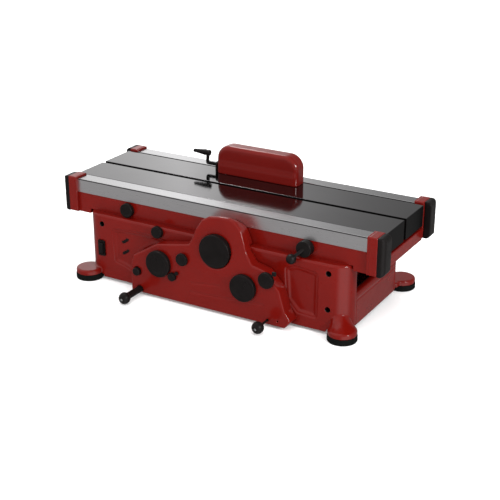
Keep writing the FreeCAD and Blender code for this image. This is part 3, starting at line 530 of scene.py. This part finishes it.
def cover_face(points):
    """Shallow creases across the drive cover, and an arch whose top falls towards the rail."""
    across, depth, up = points.T
    front = smoothstep(-depth, 206, 214)
    result = points.copy()
    for line in COVER_CREASES:
        result[:, 1] += front * groove(across, up, line, CREASE_WIDTH, CREASE_DEPTH)
    arch = smoothstep(up, 196, 210)
    fall = smoothstep(depth, -205, -168) * arch
    result[:, 2] -= ARCH_DROP * fall * smoothstep(up, 236, 262)
    return result


def housing_face(points):
    """The upper part of the housing's front stands slightly back."""
    depth, up = points.T[1:]
    result = points.copy()
    front = smoothstep(-depth, -90, -78)
    result[:, 1] += HOUSING_SETBACK * front * smoothstep(up, 300, 326)
    return result


CHANNEL_X, CHANNEL_WIDTH, CHANNEL_DEPTH = 456.5, 1.4, 1.1
BRACKET_FACE, BRACKET_TOP = 172.4, 285.4
SILL_FACE, SEAM_UP, SEAM_WIDTH, SEAM_DEPTH = 409.5, 89, 2.4, 1.6


def bracket_face(points):
    """A fine channel round the bracket, just outside the rail's end."""
    across, depth, up = points.T
    result = points.copy()
    channel = CHANNEL_DEPTH * np.exp(-((np.abs(across) - CHANNEL_X) / CHANNEL_WIDTH) ** 2)
    result[:, 1] += channel * (depth < -BRACKET_FACE) - channel * (depth > BRACKET_FACE)
    result[:, 2] -= channel * (up > BRACKET_TOP)
    return result


def sill_face(points):
    """A shallow channel under the sill's rounded top."""
    across, _, up = points.T
    result = points.copy()
    channel = SEAM_DEPTH * np.exp(-((up - SEAM_UP) / SEAM_WIDTH) ** 2)
    result[:, 0] -= np.sign(across) * (np.abs(across) > SILL_FACE) * channel
    return result


def make_castings():
    casting("base_front", 2.0, 4, front_face, 0.45, in_a_hole)
    casting("base_rear", 2.6, 4, ratio=0.5)
    casting("drive_cover", 1.8, 14, cover_face, 0.5)
    casting("gear_housing", 1.5, 5, housing_face, 0.7)
    casting("dust_hood", 2.2, 3)
    casting("end_caps", 1.5, 5)
    for end in ("left", "right"):
        casting(f"end_sill_{end}", 2.0, 4, sill_face)
        for side in ("front", "rear"):
            casting(f"bracket_{side}_{end}", 1.3, 3, bracket_face)


# ---------------------------------------------------------------- rails

RAIL_END = 452.0
RAIL_FACE = 167.0
RAIL_INNER = 126.0
RAIL_LOW, RAIL_TOP = 241.0, 281.5
LEDGE, LEDGE_REACH, LEDGE_THICK = 274.5, 13, 5
GROOVE, GROOVE_TOP, GROOVE_FOOT = 1.5, 1.0, 3.4
EASE, SMALL_EASE = 1.2, 0.6


def make_rails():
    """Extruded rails with eased corners and a fine groove just under the top edge, painted black as shade."""
    inner_end = RAIL_INNER - LEDGE_REACH
    profile = [
        (RAIL_FACE - EASE, RAIL_LOW), (RAIL_FACE, RAIL_LOW + EASE),
        (RAIL_FACE, RAIL_TOP - GROOVE_FOOT), (RAIL_FACE - GROOVE, RAIL_TOP - GROOVE_FOOT),
        (RAIL_FACE - GROOVE, RAIL_TOP - GROOVE_TOP), (RAIL_FACE - 0.5, RAIL_TOP - GROOVE_TOP),
        (RAIL_FACE - SMALL_EASE, RAIL_TOP - 0.4), (RAIL_FACE - EASE, RAIL_TOP),
        (RAIL_INNER + SMALL_EASE, RAIL_TOP), (RAIL_INNER, RAIL_TOP - SMALL_EASE),
        (RAIL_INNER, LEDGE), (inner_end, LEDGE), (inner_end, LEDGE - LEDGE_THICK),
        (RAIL_INNER, LEDGE - LEDGE_THICK), (RAIL_INNER, RAIL_LOW),
    ]
    for node, side in (("front_rail", -1), ("rear_rail", 1)):
        build = bmesh.new()
        ends = [[build.verts.new(Vector((x, side * across, up)) * MM) for across, up in profile]
                for x in (-RAIL_END, RAIL_END)]
        count = len(profile)
        for index in range(count):
            after = (index + 1) % count
            build.faces.new((ends[0][index], ends[0][after], ends[1][after], ends[1][index]))
        for end in ends:
            build.faces.new(end)
        bmesh.ops.recalc_face_normals(build, faces=build.faces)
        piece = object_from(build, node + "_fine")
        mesh = piece.data
        mesh.materials.append(MATERIALS["rail_aluminium"])
        mesh.materials.append(DARK_STEEL_AND_SHADE)
        # The groove and the ledge under the table are painted black as shade.
        for face in mesh.polygons:
            across = abs(face.center.y) / MM
            up = face.center.z / MM
            low, high = RAIL_TOP - GROOVE_FOOT - 0.2, RAIL_TOP - GROOVE_TOP + 0.2
            in_groove = across < RAIL_FACE - 0.2 and low < up < high
            on_ledge = across < RAIL_INNER + 0.1 and up < LEDGE + 4
            if (in_groove or on_ledge) and abs(face.normal.x) < 0.5:
                face.material_index = 1
        finish_piece(piece, node, smooth_angle=25)


# ---------------------------------------------------------------- knobs, levers and feet

def round_knob(node, middle, radius, front, back, stem_end, ribs, dish):
    """A knob with a soft rim, a shallow dish in its face and fine ribs round its side."""
    profile = rounded_profile([
        (0, -front + dish), (radius * 0.62, -front + dish), (radius * 0.74, -front), (radius - 0.8, -front),
        (radius, -front + 3), (radius, -back - 0.5), (radius - 1.2, -back), (5, -back), (5, -stem_end),
        (0, -stem_end)], 1.8)
    return lathe(node + "_fine", profile, middle, "y", max(96, ribs * 6), ribs, 0.55, radius - 0.3)


def grip_mark(name, middle, radius, front, angle):
    """A small raised line on a knob's face that shows which way it points."""
    x, z = middle
    mark = bar(name, (x - 1.3, -front, z + radius * 0.28), (x + 1.3, -front + 2, z + radius * 0.66), 0.5)
    return turned(mark, (x, 0, z), "Y", angle)


# Each row: node, middle in X and Z, radius, how far out the front, back and stem's end are, ribs
# round the side, dish depth, and the angle of the raised mark.
COVER_BACK, COVER_STEM = 230.4, 204
KNOBS = (
    ("roller_knob_left", (-134.5, 110.5), 38, 242, COVER_BACK, COVER_STEM, 60, 1.0, -20),
    ("roller_knob_right", (132, 99), 38, 242, COVER_BACK, COVER_STEM, 60, 1.0, 30),
    ("speed_knob", (-59, 138), 17.8, 238, COVER_BACK, COVER_STEM, 36, 0.8, -30),
    ("rail_knob", (-278.5, 218.5), 20.5, 180, 167.5, 163, 40, 0.9, None),
    ("hood_knob", (-163, 183.5), 17.4, 202, 190.4, 185, 36, 0.9, None),
)
# Each row: node, middle, radius, front, ribs, offset of the finger lug and half its width.
POINTER_KNOBS = (
    ("feed_selector", (201, 135.5), 22.5, 240, 40, (23.6, 22.8), 6),
    ("depth_stop_knob", (-91.5, 81), 12, 240, 28, (15, 13), 4.5),
)
MOTOR_CAP = (40, 179)
RESET_BUTTON = (-210, 71)


def make_knobs():
    for node, middle, radius, front, back, stem_end, ribs, dish, angle in KNOBS:
        piece = round_knob(node, middle, radius, front, back, stem_end, ribs, dish)
        if angle is not None:
            piece = joined(piece, grip_mark(node + "_mark", middle, radius, front, angle))
        finish_piece(piece, node, smooth_angle=35)
    for node, middle, radius, front, ribs, offset, half in POINTER_KNOBS:
        disc = round_knob(node, middle, radius, front, COVER_BACK, COVER_STEM, ribs, 0.8)
        x, z = middle[0] + offset[0], middle[1] + offset[1]
        lug = bar(node + "_lug", (x - half, -front + 2, z - half), (x + half, -231, z + half), half * 0.42, 4)
        arm = bar(node + "_arm", (middle[0], -front + 3, middle[1] - 3),
                  (middle[0] + math.hypot(*offset), -231.5, middle[1] + 3), 1.2)
        turned(arm, (middle[0], 0, middle[1]), "Y", -math.degrees(math.atan2(offset[1], offset[0])))
        finish_piece(joined(disc, lug, arm), node, smooth_angle=35)
    cap = rounded_profile([(0, -229.2), (40, -229.2), (43, -230), (45.5, -230), (46.5, -228.5), (46.5, -214),
                           (0, -214)], 1.6)
    finish_piece(lathe("motor_cap_fine", cap, MOTOR_CAP), "motor_cap", smooth_angle=35)
    button = rounded_profile([(0, -239.4), (8, -239.6), (11.4, -238), (11.4, -212), (0, -212)], 2.2)
    finish_piece(lathe("reset_button_fine", button, RESET_BUTTON), "reset_button", smooth_angle=40)


def sphere_profile(middle, radius, start_angle, end_angle, steps=24):
    """An arc of a ball's outline as (radius, place along) pairs, from its front."""
    span = end_angle - start_angle
    return [(max(0.0, radius * math.sin(start_angle + span * i / steps)),
             middle - radius * math.cos(start_angle + span * i / steps)) for i in range(steps + 1)]


BALL_RADIUS = 16.4
BALL_FLAT_ANGLE = 0.3
ROD_END = -191.5
PLUNGERS = (("left_plunger", (-204, 18), 9.5, -301.1), ("right_plunger", (202.5, 20.3), 3.0, -279.0))
LEVER_BALL, LEVER_BALL_RADIUS = (258, -206, 197), 13.5


def make_plungers():
    """Black balls on rods, each with a small bright screw in its face, and the feed lever's ball."""
    for node, middle, rod_radius, centre_y in PLUNGERS:
        join = math.pi - math.asin(rod_radius / BALL_RADIUS)
        outline = sphere_profile(centre_y, BALL_RADIUS, BALL_FLAT_ANGLE, join)
        outline = [(0.0, outline[0][1] + 1.2), (outline[0][0] - 0.8, outline[0][1] + 1.2)] + outline
        outline += [(rod_radius, ROD_END), (0.0, ROD_END)]
        piece = lathe(node + "_fine", outline, middle)
        finish_piece(piece, node, smooth_angle=50)
        front = centre_y - BALL_RADIUS
        insert = rounded_profile([(0, front + 0.2), (2.2, front + 0.3), (3.6, front + 1.4),
                                  (3.6, front + 3), (0, front + 3)], 0.8)
        pin = lathe(node + "_insert", insert, middle, segments=48)
        pin.data.materials.append(STEEL)
        pin.data.shade_smooth()
        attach(pin, BODY_OF[node])
    x, y, z = LEVER_BALL
    outline = sphere_profile(y, LEVER_BALL_RADIUS, 0.0, math.pi, 40)
    finish_piece(lathe("lever_ball_fine", outline, (x, z)), "lever_ball")


CRANK_Y, CRANK_Z, CRANK_THROW = 90.0, 301.6, 30.5
ARM_X, ARM_RADIUS = -176.0, 4.9


def make_crank():
    """One rod bent up from the shaft, a boss at its top and a tapered grip on a pin."""
    top = CRANK_Z + CRANK_THROW
    curve = bpy.data.curves.new("crank_arm_line", "CURVE")
    curve.dimensions = "3D"
    curve.bevel_depth = ARM_RADIUS * MM
    curve.bevel_resolution = 8
    curve.resolution_u = 24
    curve.use_fill_caps = True
    line = curve.splines.new("NURBS")
    route = ((-168.2, CRANK_Z), (-172, CRANK_Z), (-177, CRANK_Z), (-177, CRANK_Z + 7), (ARM_X, top - 8),
             (ARM_X, top))
    line.points.add(len(route) - 1)
    for spot, (x, z) in zip(line.points, route):
        spot.co = (x * MM, CRANK_Y * MM, z * MM, 1)
    line.order_u = 3
    line.use_endpoint_u = True
    holder = new_object("crank_arm_line", curve)
    graph = bpy.context.evaluated_depsgraph_get()
    mesh = bpy.data.meshes.new_from_object(holder.evaluated_get(graph))
    bpy.data.objects.remove(holder)
    bent = new_object("crank_arm_fine", mesh)
    outline = rounded_profile([(0, -181), (7.6, -181), (8.5, -179), (8.5, -169.5), (7.6, -168), (0, -168)],
                              1.5)
    boss = lathe("crank_boss", outline, (CRANK_Y, top), "x", 64)
    outline = rounded_profile([(0, -222), (3, -222), (3, -180), (0, -180)], 0.8)
    pin = lathe("crank_pin", outline, (CRANK_Y, top), "x", 32)
    finish_piece(joined(bent, boss, pin), "crank_arm", material=BLACK, smooth_angle=40)
    grip = rounded_profile([(0, -223.6), (3.6, -224), (4.9, -222.6), (5.6, -214), (7.4, -196), (8.8, -184.5),
                            (8.2, -181.5), (3.1, -181.5)], 1.4)
    finish_piece(lathe("crank_grip_fine", grip, (CRANK_Y, top), "x", 64), "crank_grip", smooth_angle=50)


FOOT_X, FRONT_FOOT, REAR_FOOT = 403.5, -196.0, 188.0


def make_feet():
    """Rubber discs with a moulded groove near the top, a ring that bears on the floor and a screw recess."""
    profile = rounded_profile([
        (4.4, 17), (37.4, 17), (39.6, 15.2), (39.6, 12.4), (38.7, 11.8), (38.7, 10.8), (39.6, 10.2),
        (39.6, 2.4), (37.6, 0), (12, 0), (11, 1.2), (7.4, 1.2), (7.4, 12), (4.4, 12)], 1.0)
    profile.append(profile[0])
    feet = [lathe(f"foot_{x}_{y}", profile, (x, y), "z", 96)
            for x in (-FOOT_X, FOOT_X) for y in (FRONT_FOOT, REAR_FOOT)]
    piece = joined(*feet)
    piece.name = "rubber_feet_fine"
    finish_piece(piece, "rubber_feet", smooth_angle=40)


make_castings()
make_rails()
make_knobs()
make_plungers()
make_crank()
make_feet()


# ---------------------------------------------------------------- stage, light and camera

FLOOR_SIZE = 40
FLOOR_GLOW = 0.14


def make_floor():
    """A white floor that glows faintly, so that it renders white; metal doesn't mirror it."""
    bpy.ops.mesh.primitive_plane_add(size=FLOOR_SIZE, location=(0, 0, 0))
    floor = bpy.context.object
    floor.name = "floor"
    paint = Paint("floor_white", (0.9, 0.9, 0.9), 0.9)
    paint.set(Specular_IOR_Level=0.0, Emission_Color=(1, 1, 1, 1), Emission_Strength=FLOOR_GLOW)
    floor.data.materials.append(paint.material)
    floor.visible_glossy = False


# Brightness of the surroundings by compass direction in degrees, above and below the horizon.
UPPER_ROOM = ((-180, 1.0), (-90, 0.6), (20, 0.35), (90, 0.28), (110, 0.35), (114, 0.5), (118, 0.8),
              (121, 1.2), (123.5, 2.0), (127, 1.45), (131, 1.25), (180, 1.1))
LOWER_ROOM = ((-180, 0.28), (-80, 0.28), (-55, 1.5), (-15, 1.5), (12, 0.35), (60, 0.3), (180, 0.3))
HORIZON_LOW, HORIZON_HIGH = -0.08, 0.04


def surroundings(tree, azimuth, stops):
    """A ring of grey values from stops of (degrees, brightness)."""
    ramp = tree.nodes.new("ShaderNodeValToRGB")
    tree.links.new(azimuth, ramp.inputs["Fac"])
    elements = ramp.color_ramp.elements
    places = [(degrees + 180) / 360 for degrees, _ in stops]
    elements[0].position = places[0]
    elements[1].position = places[-1]
    for place in places[1:-1]:
        elements.new(place)
    for element, (_, value) in zip(elements, stops):
        element.color = (value, value, value, 1)
    return ramp.outputs["Color"]


def make_world():
    """Grey surroundings, uneven by direction, so that the polished deck shades off towards the right."""
    world = bpy.data.worlds.new("studio")
    scene.world = world
    world.use_nodes = True
    tree = world.node_tree
    coordinates = tree.nodes.new("ShaderNodeTexCoord")
    split = tree.nodes.new("ShaderNodeSeparateXYZ")
    tree.links.new(coordinates.outputs["Generated"], split.inputs["Vector"])
    turn = tree.nodes.new("ShaderNodeMath")
    turn.operation = "ARCTAN2"
    tree.links.new(split.outputs["Y"], turn.inputs[0])
    tree.links.new(split.outputs["X"], turn.inputs[1])
    azimuth = tree.nodes.new("ShaderNodeMapRange")
    azimuth.inputs["From Min"].default_value = -math.pi
    azimuth.inputs["From Max"].default_value = math.pi
    tree.links.new(turn.outputs["Value"], azimuth.inputs["Value"])
    rise = tree.nodes.new("ShaderNodeMapRange")
    rise.inputs["From Min"].default_value = HORIZON_LOW
    rise.inputs["From Max"].default_value = HORIZON_HIGH
    tree.links.new(split.outputs["Z"], rise.inputs["Value"])
    mix = tree.nodes.new("ShaderNodeMix")
    mix.data_type = "RGBA"
    tree.links.new(rise.outputs["Result"], mix.inputs["Factor"])
    tree.links.new(surroundings(tree, azimuth.outputs["Result"], LOWER_ROOM), mix.inputs["A"])
    tree.links.new(surroundings(tree, azimuth.outputs["Result"], UPPER_ROOM), mix.inputs["B"])
    tree.links.new(mix.outputs["Result"], tree.nodes["Background"].inputs["Color"])


def area_light(name, place, target, size, power, glossy=True):
    light = bpy.data.lights.new(name, "AREA")
    light.size = size
    light.energy = power
    lamp = bpy.data.objects.new(name, light)
    lamp.location = place
    lamp.rotation_euler = (Vector(target) - Vector(place)).to_track_quat("-Z", "Y").to_euler()
    lamp.visible_glossy = glossy
    scene.collection.objects.link(lamp)


def sun_light(name, heading, spread, power):
    """Wide soft daylight that lights the floor evenly and isn't mirrored in the metal."""
    light = bpy.data.lights.new(name, "SUN")
    light.angle = math.radians(spread)
    light.energy = power
    lamp = bpy.data.objects.new(name, light)
    lamp.rotation_euler = Vector(heading).to_track_quat("-Z", "Y").to_euler()
    lamp.visible_glossy = False
    scene.collection.objects.link(lamp)


CAMERA_PLACE = (1.4668, -2.4935, 1.2879)
CAMERA_TARGET = (0.0173, 0.0, 0.0988)
LENS, SENSOR = 79.38, 36
FAR = 100


def make_camera():
    camera = bpy.data.cameras.new("camera")
    camera.lens = LENS
    camera.sensor_width = SENSOR
    camera.clip_end = FAR
    holder = bpy.data.objects.new("camera", camera)
    holder.location = CAMERA_PLACE
    heading = Vector(CAMERA_TARGET) - Vector(CAMERA_PLACE)
    holder.rotation_euler = heading.to_track_quat("-Z", "Y").to_euler()
    scene.collection.objects.link(holder)
    scene.camera = holder


make_floor()
make_world()
sun_light("overhead", (-0.35, 0.25, -1), 80, 2.6)
area_light("front_right", (2.6, -1.0, 1.3), (0, 0, 0.15), 0.5, 45)
area_light("back_left", (-1.2, 0.9, 2.2), (0, 0, 0.2), 0.5, 22)
area_light("front", (-0.6, -3.2, 0.9), (0, 0, 0.15), 1.6, 30, False)
make_camera()
scene.view_settings.view_transform = "Standard"
